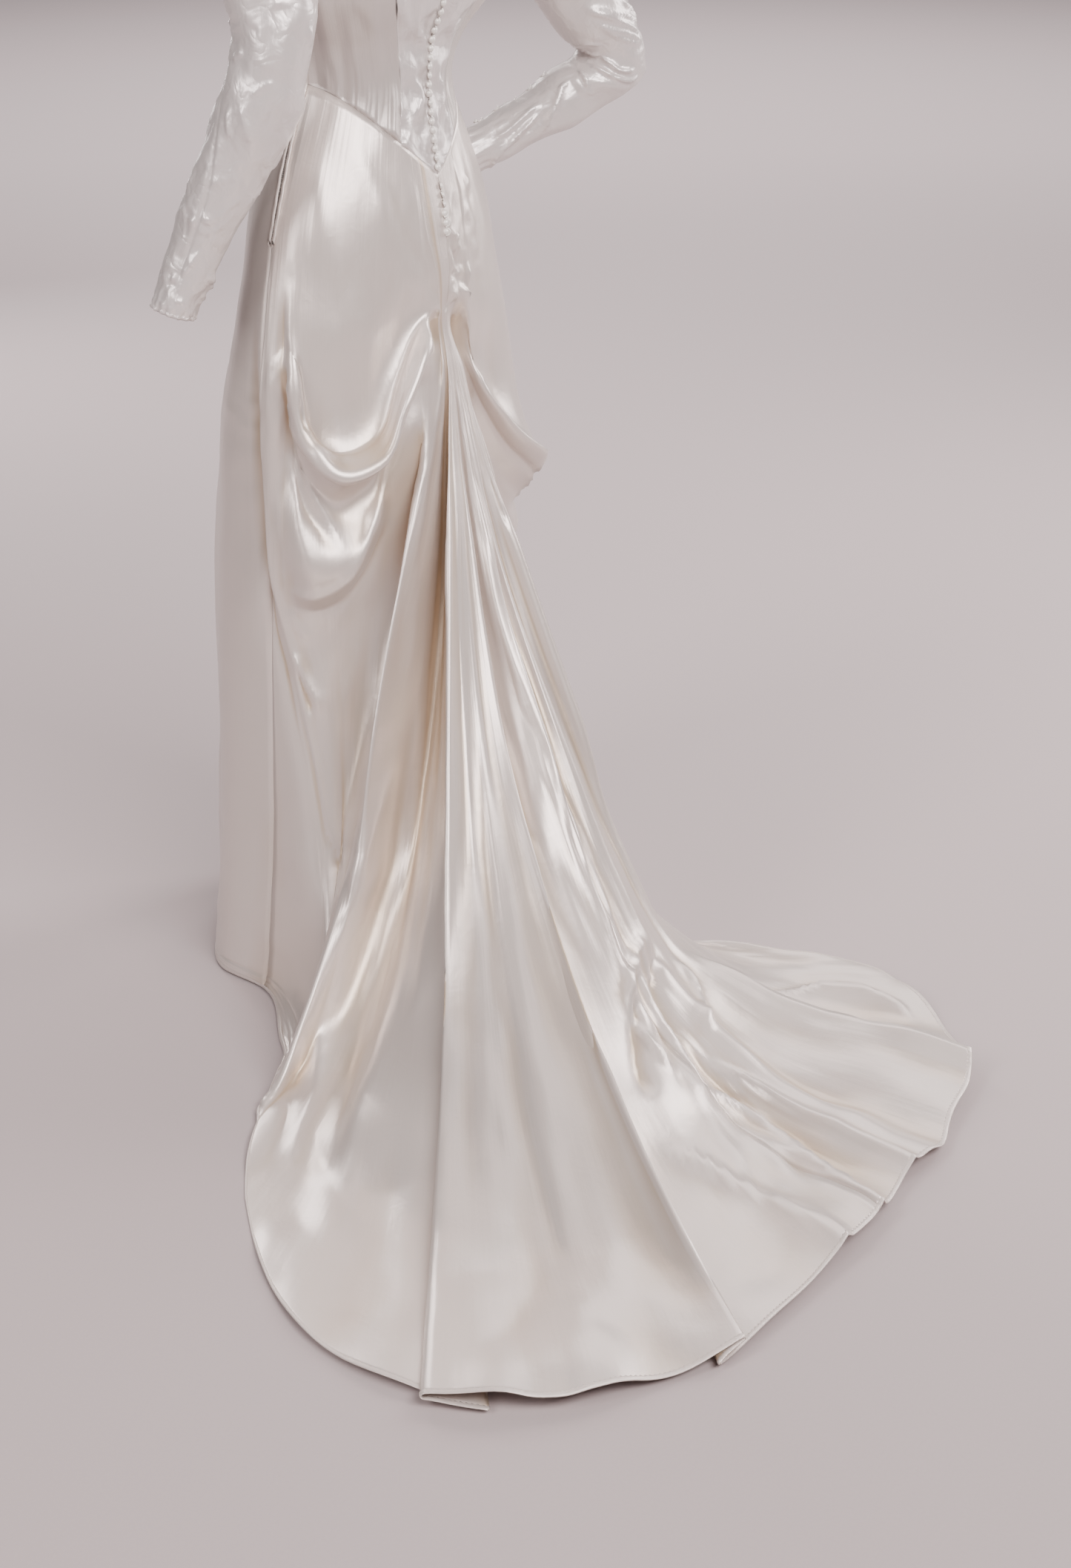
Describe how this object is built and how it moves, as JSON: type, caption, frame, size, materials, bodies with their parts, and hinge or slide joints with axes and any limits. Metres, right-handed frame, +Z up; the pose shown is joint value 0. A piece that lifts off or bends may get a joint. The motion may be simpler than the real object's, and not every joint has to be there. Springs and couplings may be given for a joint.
{
  "type": "wedding gown with a gathered train",
  "caption": "Long-sleeved ivory satin gown: button-back bodice with a pointed waist, side zip, hip drapes gathered below the seat into a fan train.",
  "frame": {"origin": "the holding point inside the shoulders, 1.40 m above the floor that the hem rests on", "axes": "+Z up; the wearer faces -Y and the wearer's left is +X; the train runs toward +Y and swings to the wearer's left"},
  "size_m": [1.1783, 1.0909, 1.4404],
  "materials": {
    "skirt_satin": "satin",
    "bodice_satin": "satin",
    "button_satin": "satin",
    "zip_tape": "woven cotton tape",
    "zip_metal": "dull metal"
  },
  "bodies": {
    "root": {"back_buttons_bodice": "button_satin", "back_buttons_skirt": "button_satin", "bodice_centre_back_left": "bodice_satin", "bodice_centre_back_right": "bodice_satin", "bodice_front": "bodice_satin", "bodice_side_back_left": "bodice_satin", "bodice_side_back_right": "bodice_satin", "cuff_button_left": "button_satin", "cuff_button_right": "button_satin", "side_zip": "zip_tape", "skirt_back_left": "skirt_satin", "skirt_back_right": "skirt_satin", "skirt_front": "skirt_satin", "sleeve_left": "bodice_satin", "sleeve_right": "bodice_satin", "zip_slider": "zip_metal"}
  },
  "joints": []
}
